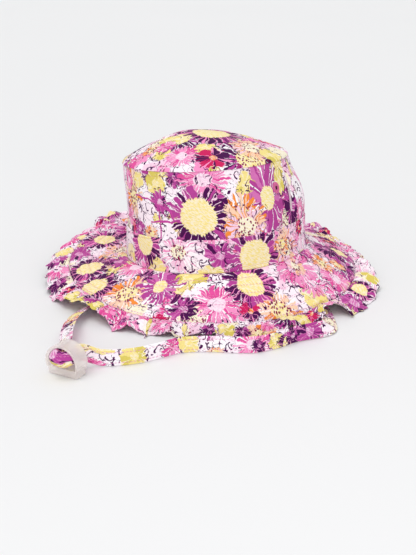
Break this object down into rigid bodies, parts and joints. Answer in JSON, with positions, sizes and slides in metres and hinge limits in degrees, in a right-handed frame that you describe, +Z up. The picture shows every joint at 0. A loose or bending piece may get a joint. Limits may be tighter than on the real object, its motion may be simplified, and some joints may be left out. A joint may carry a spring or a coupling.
{
  "type": "toddler's sun hat with a ruffled brim and a chin strap",
  "caption": "Soft cotton sun hat for a toddler: domed bucket crown with a band, stitched sloping brim with a gathered ruffle, and a flat chin strap with a clear slider.",
  "frame": {"origin": "on the table, below the middle of the hat's outline without its strap and slider", "axes": "-Y is the front of the hat, +X is to the right as the front is seen, +Z is up"},
  "size_m": [0.3046, 0.3693, 0.1372],
  "materials": {
    "print_cotton": "thin woven cotton with an all-over flower print",
    "stitched_cotton": "print cotton over wadding, with rows of topstitching",
    "gathered_cotton": "doubled print cotton, gathered",
    "eyelet_thread": "rose satin-stitch thread",
    "strap_cotton": "flat sewn tube of print cotton",
    "clear_plastic": "clear moulded plastic"
  },
  "bodies": {
    "root": {"crown_tip": "print_cotton", "crown_side": "print_cotton", "crown_band": "print_cotton", "brim": "stitched_cotton", "brim_ruffle": "gathered_cotton", "vent_eyelet": "eyelet_thread", "chin_strap": "strap_cotton", "strap_toggle": "clear_plastic"}
  },
  "joints": []
}
